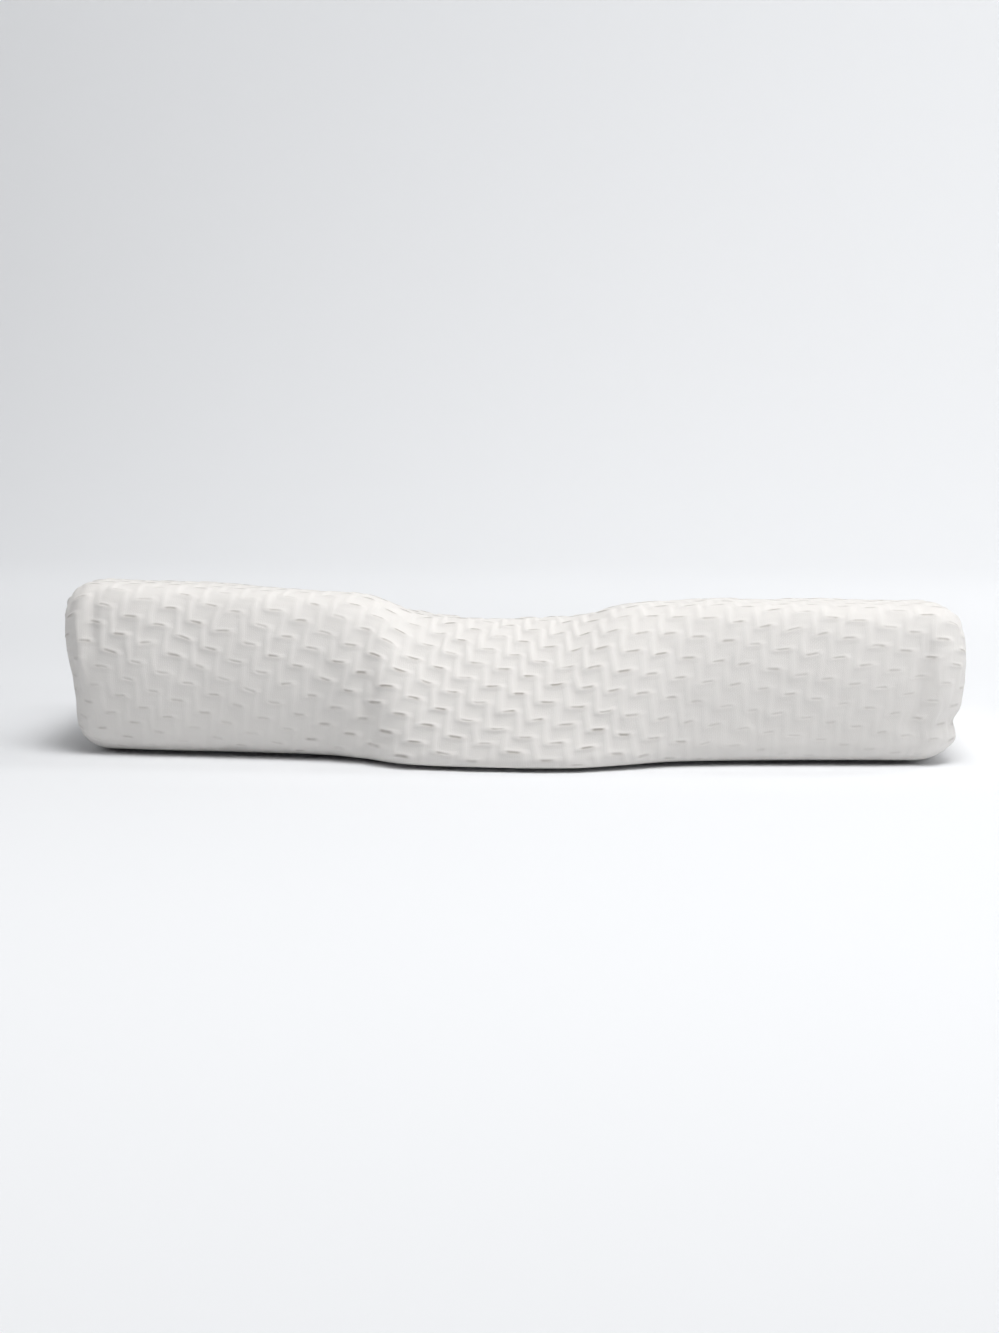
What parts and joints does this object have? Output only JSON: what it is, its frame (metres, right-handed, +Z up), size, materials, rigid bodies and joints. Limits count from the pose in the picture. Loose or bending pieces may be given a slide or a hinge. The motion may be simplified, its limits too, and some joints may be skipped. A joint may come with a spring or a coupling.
{
  "type": "cervical pillow",
  "caption": "Contoured cervical pillow in a quilted knit cover, with a neck roll at the front, raised side wings and a head hollow.",
  "frame": {"origin": "on the floor, under the middle of the pillow's bounding box", "axes": "+X along the length, -Y towards the neck side, +Z up"},
  "size_m": [0.6, 0.35, 0.1134],
  "materials": {
    "cover": "matt white double knit cover with raised stair-stepped pads and fine grooves between them"
  },
  "bodies": {
    "root": {"pillow": "cover"}
  },
  "joints": []
}
